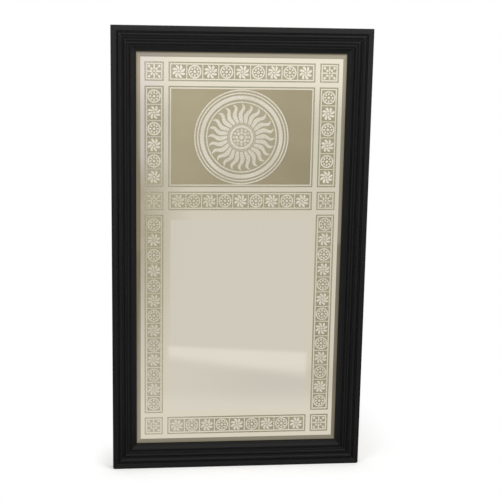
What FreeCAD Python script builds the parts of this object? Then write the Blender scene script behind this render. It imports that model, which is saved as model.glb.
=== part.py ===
import FreeCAD, Part
import math
import os
import Sketcher

# A tall wall mirror: four mitred lengths of reeded, ebonised moulding round a bevelled
# plate of mirror glass whose face is ornamented with tile borders and a sun disc.
# The front looks along -Y, the width is along X and the height along Z. The origin is the
# centre of the underside of the bottom rail, halfway through the frame's depth.

# Driving dimensions in millimetres, and counts
SIZES = [
    # the frame as a whole
    ("frame_width", 740),
    ("frame_height", 1300),
    ("frame_depth", 34),
    # moulding section, from its outer edge in to the glass
    ("moulding_width", 70),
    ("arris_round", 1.5),
    ("flat_width", 15),
    ("first_quirk", 3.6),
    ("first_drop", 5.5),
    ("bead_one_width", 11),
    ("bead_one_rise", 3.8),
    ("nick_one_width", 1.0),
    ("fillet_one_width", 2.0),
    ("fillet_one_rise", 0.8),
    ("quirk_one_width", 2.6),
    ("bead_two_width", 8.2),
    ("bead_two_rise", 3.2),
    ("nick_two_width", 2.0),
    ("fillet_two_width", 4.4),
    ("fillet_two_rise", 2.0),
    ("quirk_two_width", 3.2),
    ("bead_three_width", 5.4),
    ("bead_three_rise", 2.1),
    ("step_drop", 3.6),
    ("cove_radius", 17.5),
    ("lip_thickness", 3.5),
    ("rebate_width", 8),
    ("rebate_depth", 12),
    ("mitre_overrun", 5),
    ("foot_round", 7),
    # mirror glass and what lies behind it
    ("glass_thickness", 6),
    ("glass_clearance", 1.5),
    ("bevel_width", 19),
    ("end_bevel_width", 22.5),
    ("bevel_drop", 2.6),
    ("lip_clearance", 0.15),
    ("coat_thickness", 0.3),
    ("board_thickness", 3),
    ("board_clearance", 1.0),
    # slips between the glass edge and the frame
    ("slip_length", 40),
    ("slip_height", 2.4),
    ("slip_from_corner", 150),
    # flat steel points that hold the board in the rebate
    ("point_thickness", 0.6),
    ("point_width", 9),
    ("point_reach", 9),
    ("point_bite", 8),
    ("points_on_stile", 5),
    ("points_on_rail", 3),
    # corner brackets on the back
    ("bracket_arm", 62),
    ("bracket_width", 16),
    ("bracket_thickness", 2),
    ("bracket_tip_radius", 10),
    ("bracket_near_hole", 20),
    ("bracket_far_hole", 46),
    # round-headed wood screws
    ("screw_shank_radius", 2.0),
    ("screw_head_radius", 4.0),
    ("screw_head_height", 2.2),
    ("screw_length", 18),
    ("screw_point_length", 4),
    ("screw_slot_width", 1.0),
    ("screw_slot_depth", 1.0),
    ("screw_hole_radius", 2.3),
    ("pilot_clearance", 0.05),
    # hangers on the back of the stiles
    ("hanger_drop", 290),
    ("strap_length", 56),
    ("strap_width", 16),
    ("strap_thickness", 1.8),
    ("strap_corner", 4),
    ("strap_near_hole", 32),
    ("strap_far_hole", 47),
    ("ring_wire_radius", 1.75),
    ("ring_bar", 22),
    ("ring_corner", 3.5),
    ("eye_clearance", 0.3),
    # buffers that stand the frame's foot off the wall
    ("buffer_radius", 8),
    ("buffer_thickness", 6.5),
    ("buffer_edge", 1.2),
    ("buffer_inset", 12),
    # ornament on the glass
    ("film_thickness", 0.2),
    ("figure_thickness", 0.15),
    ("side_margin", 11.5),
    ("end_margin", 13.1),
    ("band_width", 54),
    ("band_gap", 13.3),
    ("outline_width", 3.8),
    ("line_width", 3.7),
    ("tile_divider", 2.6),
    ("tiles_across", 9),
    ("tiles_upper", 6),
    ("tiles_lower", 13),
    # sun disc, from its rim inwards to the rosette
    ("sun_radius", 135.5),
    ("sun_margin", 8.25),
    ("sun_line", 3.6),
    ("sun_gap", 4.9),
    ("sun_band", 10.8),
    ("ray_line_gap", 6.0),
    ("ray_tip_gap", 2.7),
    ("ray_width", 12.0),
    ("ray_root_width", 8.2),
    ("ray_tip_width", 3.0),
    ("ray_count", 24),
    ("ray_root_gap", 7.4),
    ("root_ring_gap", 3.6),
    ("root_ring_line", 1.2),
    ("rosette_radius", 34.2),
    ("rosette_line", 6.6),
    ("petal_gap", 2.4),
    ("petal_length", 6.6),
    ("petal_width", 6.4),
    ("petal_count", 12),
    ("inner_petal_gap", 1.1),
    ("inner_petal_length", 8.0),
    ("inner_petal_width", 8.6),
    ("inner_petal_count", 8),
    ("rosette_boss", 6.2),
]

doc = FreeCAD.newDocument("tall_mirror")
sheet = doc.addObject("Spreadsheet::Sheet", "Sizes")
for row, (name, number) in enumerate(SIZES, start=1):
    sheet.set("A%d" % row, name)
    sheet.set("B%d" % row, str(number))
    sheet.setAlias("B%d" % row, name)
doc.recompute()


class Size:
    """A length that holds its number and the sheet formula that gives it."""

    def __init__(self, number, formula):
        self.number = number
        self.formula = formula

    def joined(self, other, sign, number):
        text = other.formula if isinstance(other, Size) else repr(other)
        return Size(number, "(%s %s %s)" % (self.formula, sign, text))

    def __add__(self, other):
        return self.joined(other, "+", self.number + plain(other))

    def __sub__(self, other):
        return self.joined(other, "-", self.number - plain(other))

    def __mul__(self, other):
        return self.joined(other, "*", self.number * plain(other))

    def __truediv__(self, other):
        return self.joined(other, "/", self.number / plain(other))

    def __neg__(self):
        return Size(-self.number, "(0 - %s)" % self.formula)

    def root(self):
        return Size(math.sqrt(self.number), "sqrt(%s)" % self.formula)


def plain(thing):
    return thing.number if isinstance(thing, Size) else thing


class Names:
    """Every named size as an attribute."""


size = Names()
for name, number in SIZES:
    setattr(size, name, Size(float(sheet.get(name)), "Sizes." + name))
nought = Size(0.0, "0")

# Places that follow from the driving dimensions
half_width = size.frame_width / 2
back = size.frame_depth / 2
land = (size.moulding_width - size.rebate_width) / 2
sight_x = half_width - size.moulding_width
sight_low = size.moulding_width
sight_high = size.frame_height - size.moulding_width
middle_z = size.frame_height / 2
rebate_y = back - size.rebate_depth

# The sloping bevel just clears the back edge of the lip, so the flat of the glass stands forward
lap = size.rebate_width - size.glass_clearance
bevel_under_lip = size.bevel_drop * (size.bevel_width - lap) / size.bevel_width
glass_front = rebate_y + size.lip_clearance - bevel_under_lip
glass_back = glass_front + size.glass_thickness
glass_x = sight_x + lap
glass_half_height = middle_z - sight_low + lap
edge_thickness = size.glass_thickness - size.bevel_drop
coat_back = glass_back + size.coat_thickness
board_back = coat_back + size.board_thickness
board_x = sight_x + size.rebate_width - size.board_clearance
board_half_height = middle_z - sight_low + size.rebate_width - size.board_clearance
bracket_back = back + size.bracket_thickness
strap_back = back + size.strap_thickness
eye_radius = size.ring_wire_radius + size.eye_clearance
eye_y = strap_back + eye_radius
hanger_z = size.frame_height - size.hanger_drop
pilot_radius = size.screw_shank_radius + size.pilot_clearance


class Drawing:
    """A sketch on a body's own plane, every point held by a formula in the named sizes."""

    def __init__(self, body, name, plane, lift=nought):
        self.sketch = body.newObject("Sketcher::SketchObject", name)
        support = next(part for part in body.Origin.OriginFeatures if part.Role == plane)
        self.sketch.AttachmentSupport = [(support, "")]
        self.sketch.MapMode = "FlatFace"
        self.sketch.setExpression("AttachmentOffset.Base.z", lift.formula)

    def bind(self, constraint, length):
        index = self.sketch.addConstraint(constraint)
        self.sketch.setExpression("Constraints[%d]" % index, length.formula)

    def hold(self, edge, end, across, up):
        self.bind(Sketcher.Constraint("DistanceX", -1, 1, edge, end, across.number), across)
        self.bind(Sketcher.Constraint("DistanceY", -1, 1, edge, end, up.number), up)

    def outline(self, points):
        """A closed loop. A point may add a radius and a turn, +1 or -1, for an arc that ends there."""
        ends = []
        for index, point in enumerate(points):
            start = points[index - 1]
            x0, y0 = start[0].number, start[1].number
            x1, y1 = point[0].number, point[1].number
            if len(point) == 2:
                line = Part.LineSegment(FreeCAD.Vector(x0, y0, 0), FreeCAD.Vector(x1, y1, 0))
                edge = self.sketch.addGeometry(line)
                ends.append((edge, 1, 2))
                continue
            radius, turn = point[2], point[3]
            chord = math.hypot(x1 - x0, y1 - y0)
            rise = turn * math.sqrt(radius.number ** 2 - chord ** 2 / 4)
            cx = (x0 + x1) / 2 - (y1 - y0) / chord * rise
            cy = (y0 + y1) / 2 + (x1 - x0) / chord * rise
            circle = Part.Circle(FreeCAD.Vector(cx, cy, 0), FreeCAD.Vector(0, 0, 1), radius.number)
            first = math.atan2(y0 - cy, x0 - cx)
            last = math.atan2(y1 - cy, x1 - cx)
            if turn < 0:
                first, last = last, first
            edge = self.sketch.addGeometry(Part.ArcOfCircle(circle, first, last))
            ends.append((edge, 1, 2) if turn > 0 else (edge, 2, 1))
            self.bind(Sketcher.Constraint("Radius", edge, radius.number), radius)
        for index, (edge, _, finish) in enumerate(ends):
            following, begin, _ = ends[(index + 1) % len(ends)]
            self.sketch.addConstraint(Sketcher.Constraint("Coincident", edge, finish, following, begin))
            self.hold(edge, finish, points[index][0], points[index][1])

    def rectangle(self, across_0, up_0, across_1, up_1):
        self.outline([(across_0, up_0), (across_1, up_0), (across_1, up_1), (across_0, up_1)])

    def circle(self, across, up, radius):
        centre = FreeCAD.Vector(across.number, up.number, 0)
        edge = self.sketch.addGeometry(Part.Circle(centre, FreeCAD.Vector(0, 0, 1), radius.number))
        self.hold(edge, 3, across, up)
        self.bind(Sketcher.Constraint("Radius", edge, radius.number), radius)


def new_body(name):
    body = doc.addObject("PartDesign::Body", name)
    body.Label = name
    return body


def pad(body, name, drawing, length, both_ways=False):
    feature = body.newObject("PartDesign::Pad", name)
    feature.Profile = drawing.sketch
    feature.setExpression("Length", length.formula)
    if both_ways:
        feature.SideType = "Symmetric"
    return feature


def pocket(body, name, drawing, length, both_ways=False, reverse=False):
    """Cut a drawing out of the body, and stop if the cut takes nothing away."""
    doc.recompute()
    before = body.Shape.Volume
    feature = body.newObject("PartDesign::Pocket", name)
    feature.Profile = drawing.sketch
    feature.setExpression("Length", length.formula)
    feature.Reversed = reverse
    if both_ways:
        feature.SideType = "Symmetric"
    doc.recompute()
    if not body.Shape.Volume < before:
        raise RuntimeError("%s of %s cuts nothing" % (name, body.Label))
    return feature


def put(thing, x, y, z):
    """Bind a body's or a solid's place to formulas."""
    thing.setExpression("Placement.Base.x", x.formula)
    thing.setExpression("Placement.Base.y", y.formula)
    thing.setExpression("Placement.Base.z", z.formula)


def vector(x, y, z):
    return FreeCAD.Vector(plain(x), plain(y), plain(z))


def feature_of(name, shape):
    thing = doc.addObject("Part::Feature", name)
    thing.Label = name
    thing.Shape = shape
    return thing


def copies(name, source, places):
    """One node that holds a copy of the source at each place."""
    solids = []
    for place in places:
        solid = source.Shape.copy()
        solid.translate(place)
        solids.append(solid)
    return feature_of(name, Part.makeCompound(solids))


# Moulding section

def bead_radius(width, rise):
    return (width * width / 4 + rise * rise) / (rise * 2)


def moulding_section():
    """Section points: distance in from the outer edge, height off the wall, and arcs."""
    front = size.frame_depth
    edge = size.arris_round
    points = [
        (nought, nought),
        (nought, front - edge),
        (edge, front, edge, -1),
        (size.flat_width - edge, front),
        (size.flat_width, front - edge, edge, -1),
    ]
    level = front - size.first_drop
    inward = size.flat_width
    points.append((inward, level))
    inward = inward + size.first_quirk
    points.append((inward, level))
    inward = inward + size.bead_one_width
    points.append((inward, level, bead_radius(size.bead_one_width, size.bead_one_rise), -1))
    reeds = [
        (size.nick_one_width, size.fillet_one_width, size.fillet_one_rise, size.quirk_one_width,
         size.bead_two_width, size.bead_two_rise),
        (size.nick_two_width, size.fillet_two_width, size.fillet_two_rise, size.quirk_two_width,
         size.bead_three_width, size.bead_three_rise),
    ]
    for nick, fillet, fillet_rise, quirk, bead, bead_rise in reeds:
        inward = inward + nick
        points.append((inward, level))
        points.append((inward, level + fillet_rise))
        inward = inward + fillet
        points.append((inward, level + fillet_rise))
        level = level - size.step_drop
        points.append((inward, level))
        inward = inward + quirk
        points.append((inward, level))
        inward = inward + bead
        points.append((inward, level, bead_radius(bead, bead_rise), -1))
    sight = size.moulding_width
    lip_front = size.rebate_depth + size.lip_thickness
    points.append((sight, lip_front, size.cove_radius, 1))
    points.append((sight, size.rebate_depth))
    points.append((sight - size.rebate_width, size.rebate_depth))
    points.append((sight - size.rebate_width, nought))
    return points


def section_on(drawing, place, turn):
    """Draw the section through a place function. A turn of -1 marks a mirrored place."""
    points = []
    for point in moulding_section():
        across, up = place(point[0], point[1])
        arc = (point[2], point[3] * turn) if len(point) > 2 else ()
        points.append((across, up) + arc)
    drawing.outline(points)


def mitre(body, name, corner_x, corner_z, across, up, along_x):
    """Cut a rail's end along the 45 degree line through a corner. across and up point inwards."""
    over = size.mitre_overrun
    reach = size.moulding_width + over

    def at(a, b):
        return (corner_x + a * across, corner_z + b * up)

    drawing = Drawing(body, name + "_line", "XZ_Plane")
    spare = at(-over, reach) if along_x else at(reach, -over)
    drawing.outline([at(-over, -over), spare, at(reach, reach)])
    pocket(body, name, drawing, size.frame_depth * 2, both_ways=True)


def round_foot(body, name, corner_x, across):
    """Round the outer corner that the frame stands on, worn by floors. across points inwards."""
    over = size.mitre_overrun
    worn = size.foot_round
    inner_x = corner_x + worn * across
    outer_x = corner_x - over * across
    drawing = Drawing(body, name + "_line", "XZ_Plane")
    drawing.outline([
        (inner_x, nought),
        (corner_x + nought, worn, worn, -across),
        (outer_x, worn),
        (outer_x, -over),
        (inner_x, -over),
    ])
    pocket(body, name, drawing, size.frame_depth * 2, both_ways=True)


def back_holes(body, name, spots):
    """Pilot holes for wood screws, drilled into the back face."""
    drawing = Drawing(body, name + "_centres", "XZ_Plane", -back)
    for across, up in spots:
        drawing.circle(across, up, pilot_radius)
    pocket(body, name, drawing, size.screw_length, reverse=True)


def point_slots(body, name, spots, along_x):
    """Thin slots in the rebate wall that the steel points are driven into."""
    drawing = Drawing(body, name + "_places", "XZ_Plane", -(board_back + size.point_thickness))
    half = size.point_width / 2
    for wall, middle, outwards in spots:
        if along_x:
            drawing.rectangle(middle - half, wall, middle + half, wall + size.point_bite * outwards)
        else:
            drawing.rectangle(wall, middle - half, wall + size.point_bite * outwards, middle + half)
    pocket(body, name, drawing, size.point_thickness, reverse=True)


# Where the screws and the points go

bracket_spots = [size.bracket_near_hole, size.bracket_far_hole]
strap_spots = [hanger_z - size.strap_near_hole, hanger_z - size.strap_far_hole]
side_wall = sight_x + size.rebate_width
low_wall = sight_low - size.rebate_width
high_wall = sight_high + size.rebate_width


def spread(count, half_length):
    """Middles of evenly spaced places along a run, from its centre outwards."""
    total = int(plain(count))
    return [half_length * ((2 * place + 1) / total - 1) for place in range(total)]


stile_points = [middle_z + z for z in spread(size.points_on_stile, board_half_height)]
rail_points = spread(size.points_on_rail, board_x)


def crossing(sx, sz):
    """Centre of the back land's crossing at a corner."""
    across = (half_width - land) * sx
    up = size.frame_height - land if sz > 0 else land
    return across, up


# Rails and stiles: the section is drawn once for each and swept its length

def make_rail(name, sz):
    body = new_body(name)
    drawing = Drawing(body, name + "_section", "YZ_Plane")
    if sz > 0:
        section_on(drawing, lambda u, v: (back - v, size.frame_height - u), -1)
    else:
        section_on(drawing, lambda u, v: (back - v, nought + u), 1)
    pad(body, name + "_length", drawing, size.frame_width, both_ways=True)
    edge_z = size.frame_height if sz > 0 else nought
    mitre(body, name + "_left_mitre", -half_width, edge_z, 1, -sz, True)
    mitre(body, name + "_right_mitre", nought + half_width, edge_z, -1, -sz, True)
    if sz < 0:
        round_foot(body, name + "_left_foot", -half_width, 1)
        round_foot(body, name + "_right_foot", nought + half_width, -1)
    spots = []
    for sx in (-1, 1):
        across, up = crossing(sx, sz)
        spots += [(across - reach * sx, up) for reach in bracket_spots]
    back_holes(body, name + "_pilots", spots)
    wall = high_wall if sz > 0 else low_wall
    point_slots(body, name + "_slots", [(wall, place, sz) for place in rail_points], True)
    return body


def make_stile(name, sx):
    body = new_body(name)
    drawing = Drawing(body, name + "_section", "XY_Plane")
    if sx > 0:
        section_on(drawing, lambda u, v: (half_width - u, back - v), 1)
    else:
        section_on(drawing, lambda u, v: (u - half_width, back - v), -1)
    pad(body, name + "_length", drawing, size.frame_height)
    edge_x = half_width * sx
    mitre(body, name + "_lower_mitre", edge_x, nought, -sx, 1, False)
    mitre(body, name + "_upper_mitre", edge_x, size.frame_height, -sx, -1, False)
    round_foot(body, name + "_foot", edge_x, -sx)
    spots = [((half_width - land) * sx, place) for place in strap_spots]
    for sz in (-1, 1):
        across, up = crossing(sx, sz)
        spots += [(across, up - reach * sz) for reach in bracket_spots]
    back_holes(body, name + "_pilots", spots)
    wall = side_wall * sx
    point_slots(body, name + "_slots", [(wall, place, sx) for place in stile_points], False)
    return body


make_rail("top_rail", 1)
make_rail("bottom_rail", -1)
make_stile("left_stile", -1)
make_stile("right_stile", 1)


# Mirror glass: a flat slab with a sloping border in front of it

def make_glass():
    body = new_body("mirror_glass")
    slab = Drawing(body, "glass_outline", "XZ_Plane", -glass_back)
    low, high = middle_z - glass_half_height, middle_z + glass_half_height
    slab.rectangle(-glass_x, low, nought + glass_x, high)
    pad(body, "glass_slab", slab, edge_thickness)
    foot = Drawing(body, "bevel_foot", "XZ_Plane", edge_thickness - glass_back)
    foot.rectangle(-glass_x, low, nought + glass_x, high)
    head = Drawing(body, "bevel_head", "XZ_Plane", -glass_front)
    inner_x = glass_x - size.bevel_width
    end_bevel = size.end_bevel_width
    head.rectangle(-inner_x, low + end_bevel, nought + inner_x, high - end_bevel)
    doc.recompute()
    loft = body.newObject("PartDesign::AdditiveLoft", "glass_bevel")
    loft.Profile = foot.sketch
    loft.Sections = [head.sketch]
    loft.Ruled = True


make_glass()


def sheet_behind(name, face, thickness, half_x, half_z):
    """A flat sheet whose front lies on the given face."""
    body = new_body(name)
    drawing = Drawing(body, name + "_outline", "XZ_Plane", -(face + thickness))
    drawing.rectangle(-half_x, middle_z - half_z, nought + half_x, middle_z + half_z)
    pad(body, name + "_sheet", drawing, thickness)


sheet_behind("silver_backing", glass_back, size.coat_thickness, glass_x, glass_half_height)
sheet_behind("backing_board", coat_back, size.board_thickness, board_x, board_half_height)


def block(name, corner, spans):
    """A box from its lowest corner and its spans along the three axes."""
    box = doc.addObject("Part::Box", name)
    box.setExpression("Length", spans[0].formula)
    box.setExpression("Width", spans[1].formula)
    box.setExpression("Height", spans[2].formula)
    put(box, *corner)
    return box


def compound(name, links):
    group = doc.addObject("Part::Compound", name)
    group.Label = name
    group.Links = links
    return group


# Slips round the edge of the glass, which keep it central in the rebate

def make_slips():
    slips = []
    y = glass_back - size.slip_height
    along_x = half_width - size.slip_from_corner
    along_z = middle_z - size.slip_from_corner
    lying = (size.slip_length, size.slip_height, size.glass_clearance)
    standing = (size.glass_clearance, size.slip_height, size.slip_length)
    for sx in (-1, 1):
        side = -side_wall if sx < 0 else side_wall - size.glass_clearance
        for sz in (-1, 1):
            level = low_wall if sz < 0 else high_wall - size.glass_clearance
            rail_corner = (along_x * sx - size.slip_length / 2, y, level)
            slips.append(block("rail_slip", rail_corner, lying))
            stile_corner = (side, y, middle_z + along_z * sz - size.slip_length / 2)
            slips.append(block("stile_slip", stile_corner, standing))
    compound("edge_slips", slips)


make_slips()


# Steel points, half in the wood and half over the board

def make_points():
    points = []
    long = size.point_bite + size.point_reach
    half = size.point_width / 2
    across = (long, size.point_thickness, size.point_width)
    upright = (size.point_width, size.point_thickness, long)
    for place in stile_points:
        for start in (side_wall - size.point_reach, -side_wall - size.point_bite):
            points.append(block("stile_point", (start, board_back, place - half), across))
    for place in rail_points:
        for start in (high_wall - size.point_reach, low_wall - size.point_bite):
            points.append(block("rail_point", (place - half, board_back, start), upright))
    compound("board_points", points)


make_points()


# Wood screw: head outwards along +Y, shank into the wood along -Y

def make_screw():
    body = new_body("screw_pattern")
    half = Drawing(body, "screw_half", "XY_Plane")
    dome = bead_radius(size.screw_head_radius * 2, size.screw_head_height)
    half.outline([
        (nought, nought + size.screw_head_height),
        (nought + size.screw_head_radius, nought, dome, -1),
        (nought + size.screw_shank_radius, nought),
        (nought + size.screw_shank_radius, size.screw_point_length - size.screw_length),
        (nought, -size.screw_length),
    ])
    turned = body.newObject("PartDesign::Revolution", "screw_turned")
    turned.Profile = half.sketch
    turned.ReferenceAxis = (half.sketch, ["V_Axis"])
    turned.Angle = 360
    slot = Drawing(body, "screw_slot_outline", "XZ_Plane", -size.screw_head_height)
    reach = size.screw_head_radius * 2
    half_slot = size.screw_slot_width / 2
    slot.rectangle(-reach, -half_slot, nought + reach, nought + half_slot)
    pocket(body, "screw_slot", slot, size.screw_slot_depth, reverse=True)
    return body


screw = make_screw()


# Corner brackets: flat steel angles over the mitres

def make_bracket(name, sx, sz):
    body = new_body(name)
    cx, cz = crossing(sx, sz)
    half = size.bracket_width / 2

    def at(a, b):
        """A point from the crossing, a towards the other stile and b towards the other rail."""
        return (cx - a * sx, cz - b * sz)

    turn = sx * sz
    arm = size.bracket_arm
    tip = size.bracket_tip_radius
    shoulder = tip - (tip * tip - half * half).root()
    plate = Drawing(body, name + "_outline", "XZ_Plane", -bracket_back)
    plate.outline([
        at(-half, -half),
        at(arm - shoulder, -half),
        at(arm, nought) + (tip, turn),
        at(arm - shoulder, half) + (tip, turn),
        at(half, half),
        at(half, arm - shoulder),
        at(nought, arm) + (tip, turn),
        at(-half, arm - shoulder) + (tip, turn),
    ])
    pad(body, name + "_plate", plate, size.bracket_thickness)
    holes = Drawing(body, name + "_holes", "XZ_Plane", -bracket_back)
    for reach in bracket_spots:
        holes.circle(*at(reach, nought), size.screw_hole_radius)
        holes.circle(*at(nought, reach), size.screw_hole_radius)
    pocket(body, name + "_drilled", holes, size.bracket_thickness * 2, both_ways=True)


bracket_screw_places = []
for side, sx in (("left", -1), ("right", 1)):
    for level, sz in (("lower", -1), ("upper", 1)):
        make_bracket("%s_%s_bracket" % (level, side), sx, sz)
        cx, cz = crossing(sx, sz)
        for reach in bracket_spots:
            bracket_screw_places.append(vector(cx - reach * sx, bracket_back, cz))
            bracket_screw_places.append(vector(cx, bracket_back, cz - reach * sz))
doc.recompute()
copies("bracket_screws", screw, bracket_screw_places)


# Hangers: a steel strap rolled into an eye at its top, and a ring that swings in the eye

def make_strap(name, sx):
    body = new_body(name)
    x = (half_width - land) * sx
    top = hanger_z
    low = top - size.strap_length
    outer = eye_radius + size.strap_thickness
    seam = (outer * outer - eye_radius * eye_radius).root()
    side = Drawing(body, name + "_side", "YZ_Plane", x)
    side.outline([
        (back + nought, low),
        (back + nought, top),
        (nought + eye_y, top + outer, outer, -1),
        (eye_y + outer, top, outer, -1),
        (nought + eye_y, top - outer, outer, -1),
        (nought + strap_back, top - seam, outer, -1),
        (nought + strap_back, low),
    ])
    side.circle(nought + eye_y, top, eye_radius)
    pad(body, name + "_rolled", side, size.strap_width, both_ways=True)
    holes = Drawing(body, name + "_holes", "XZ_Plane", -strap_back)
    for spot in strap_spots:
        holes.circle(x, spot, size.screw_hole_radius)
    pocket(body, name + "_drilled", holes, size.strap_thickness * 2, both_ways=True)
    drilled = body.Tip
    foot = []
    for index, edge in enumerate(body.Shape.Edges, start=1):
        ends = [vertex.Point for vertex in edge.Vertexes]
        at_foot = all(abs(point.z - low.number) < size.pilot_clearance.number for point in ends)
        if at_foot and len(ends) == 2 and abs(ends[0].x - ends[1].x) < size.pilot_clearance.number:
            foot.append("Edge%d" % index)
    rounding = body.newObject("PartDesign::Fillet", name + "_rounded")
    rounding.Base = (drilled, foot)
    rounding.setExpression("Radius", size.strap_corner.formula)


def make_ring(name, sx):
    """A closed wire loop: a straight bar in the eye and a round bow that hangs below it."""
    body = new_body(name)
    x = (half_width - land) * sx
    top = hanger_z
    half = size.ring_bar / 2
    bend = size.ring_corner
    bow = half + bend
    path = Drawing(body, name + "_path", "XZ_Plane", -eye_y)
    path.outline([
        (x + half, top),
        (x + bow, top - bend, bend, -1),
        (nought + x, top - bend - bow, bow, -1),
        (x - bow, top - bend, bow, -1),
        (x - half, top, bend, -1),
    ])
    wire = Drawing(body, name + "_wire", "YZ_Plane", x)
    wire.circle(nought + eye_y, top, size.ring_wire_radius)
    doc.recompute()
    swept = body.newObject("PartDesign::AdditivePipe", name + "_swept")
    swept.Profile = wire.sketch
    swept.Spine = path.sketch


strap_screw_places = []
for side, sx in (("left", -1), ("right", 1)):
    make_strap("%s_hanger_strap" % side, sx)
    make_ring("%s_hanger_ring" % side, sx)
    for spot in strap_spots:
        strap_screw_places.append(vector((half_width - land) * sx, strap_back, spot))
doc.recompute()
copies("hanger_screws", screw, strap_screw_places)


# Wall buffers: turned rubber studs at the foot of the frame

def make_buffer(name, sx):
    body = new_body(name)
    half = Drawing(body, name + "_half", "XY_Plane")
    rim = size.buffer_edge
    half.outline([
        (nought, nought),
        (nought + size.buffer_radius, nought),
        (nought + size.buffer_radius, size.buffer_thickness - rim),
        (size.buffer_radius - rim, nought + size.buffer_thickness, rim, 1),
        (nought, nought + size.buffer_thickness),
    ])
    turned = body.newObject("PartDesign::Revolution", name + "_turned")
    turned.Profile = half.sketch
    turned.ReferenceAxis = (half.sketch, ["V_Axis"])
    turned.Angle = 360
    put(body, (half_width - size.buffer_inset) * sx, back, nought + size.buffer_inset)


make_buffer("left_wall_buffer", -1)
make_buffer("right_wall_buffer", 1)


# Ornament. It is laid out in blocks: columns across the glass and rows down it.

pattern_x = glass_x - size.bevel_width - size.side_margin
pattern_high = middle_z + glass_half_height - size.end_bevel_width - size.end_margin
pattern_low = middle_z - glass_half_height + size.end_bevel_width + size.end_margin
band_x = pattern_x - size.band_width
centre_x = band_x - size.band_gap
step = size.band_width + size.band_gap
upper_top = pattern_high - step
upper_low = upper_top - (size.sun_radius + size.sun_margin) * 2
middle_top = upper_low - size.band_gap
lower_top = middle_top - step
lower_low = pattern_low + step

side_columns = [(-pattern_x, -band_x), (band_x, pattern_x)]
centre_column = (-centre_x, centre_x)
band_rows = [
    (pattern_high - size.band_width, pattern_high),
    (middle_top - size.band_width, middle_top),
    (pattern_low, pattern_low + size.band_width),
]
upper_row = (upper_low, upper_top)
lower_row = (lower_low, lower_top)
sun_z = (upper_low + upper_top) / 2


def film_box(name, x0, x1, z0, z1, face, thickness):
    """A thin box whose back lies on the given face."""
    return block(name, (x0, face - thickness, z0), (x1 - x0, thickness, z1 - z0))


def outline(name, x0, x1, z0, z1):
    """The thin dark line round one block, on the front of the glass."""
    width, thickness = size.outline_width, size.film_thickness
    outer = film_box(name + "_outer", x0, x1, z0, z1, glass_front, thickness)
    inner = film_box(name + "_inner", x0 + width, x1 - width, z0 + width, z1 - width,
                     glass_front + thickness, thickness * 3)
    frame = doc.addObject("Part::Cut", name)
    frame.Base = outer
    frame.Tool = inner
    return frame


def tile_cells(name, x0, x1, z0, z1, count, along_x):
    """Dark grounds of the tiles in one band, with light dividers left between them."""
    edge = size.outline_width + size.line_width
    low = (x0 if along_x else z0) + edge
    run = (x1 - x0 if along_x else z1 - z0) - edge * 2
    cell = (run + size.tile_divider) / count - size.tile_divider
    cells = []
    for number in range(int(plain(count))):
        start = low + (cell + size.tile_divider) * number
        if along_x:
            place = (start, start + cell, z0 + edge, z1 - edge)
        else:
            place = (x0 + edge, x1 - edge, start, start + cell)
        cells.append(film_box("%s_%d" % (name, number), *place, glass_front, size.film_thickness))
    return cells


one = Size(1.0, "1")
outlines = []
cells = []
for row, (z0, z1) in enumerate(band_rows):
    outlines.append(outline("row_outline_%d" % row, *centre_column, z0, z1))
    cells += tile_cells("row_tile_%d" % row, *centre_column, z0, z1, size.tiles_across, True)
    for column, (x0, x1) in enumerate(side_columns):
        name = "%d_%d" % (row, column)
        outlines.append(outline("corner_outline_" + name, x0, x1, z0, z1))
        cells += tile_cells("corner_tile_" + name, x0, x1, z0, z1, one, True)
side_runs = [("upper", upper_row, size.tiles_upper), ("lower", lower_row, size.tiles_lower)]
for column, (x0, x1) in enumerate(side_columns):
    for level, (z0, z1), count in side_runs:
        name = "%s_%d" % (level, column)
        outlines.append(outline("side_outline_" + name, x0, x1, z0, z1))
        cells += tile_cells("side_tile_" + name, x0, x1, z0, z1, count, False)
outlines.append(outline("sun_outline", *centre_column, *upper_row))
compound("etched_outlines", outlines)
compound("tile_grounds", cells)

panel_edge = size.outline_width + size.line_width
sun_panel = film_box("sun_panel", centre_column[0] + panel_edge, centre_column[1] - panel_edge,
                     upper_low + panel_edge, upper_top - panel_edge, glass_front, size.film_thickness)
sun_panel.Label = "sun_panel"
figure_face = glass_front - size.film_thickness


# Sun disc: rings, wavy rays and a rosette, laid on the panel

def disc(name, radius, thickness, face):
    """A thin disc about the sun's centre, with its back on the given face."""
    plate = doc.addObject("Part::Cylinder", name)
    plate.setExpression("Radius", radius.formula)
    plate.setExpression("Height", thickness.formula)
    plate.Placement.Rotation = FreeCAD.Rotation(FreeCAD.Vector(1, 0, 0), 90)
    put(plate, nought, face, sun_z)
    return plate


def ring(name, radius, width):
    outer = disc(name + "_outer", radius, size.figure_thickness, figure_face)
    inner = disc(name + "_inner", radius - width, size.figure_thickness * 3,
                 figure_face + size.figure_thickness)
    cut = doc.addObject("Part::Cut", name)
    cut.Base = outer
    cut.Tool = inner
    return cut


line_step = size.sun_line + size.sun_gap
second_radius = size.sun_radius - line_step
band_radius = second_radius - line_step
ray_line_radius = band_radius - size.sun_band - size.ray_line_gap
ray_tip_radius = ray_line_radius - size.sun_line - size.ray_tip_gap
ray_root_radius = size.rosette_radius + size.ray_root_gap
root_ring_radius = size.rosette_radius + size.root_ring_gap + size.root_ring_line
compound("sun_rings", [
    ring("outer_line", size.sun_radius, size.sun_line),
    ring("second_line", second_radius, size.sun_line),
    ring("broad_band", band_radius, size.sun_band),
    ring("ray_line", ray_line_radius, size.sun_line),
    ring("root_ring", root_ring_radius, size.root_ring_line),
])

# A ray swings one way in its lower half and the other way, over a shorter run, towards its tip
SWING_DEGREES = 3.6
SWING_LEAN = 1.4
RAY_STEPS = 10
BELLY_SHARE = 0.4
TAPER_POWER = 2.2


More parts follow.
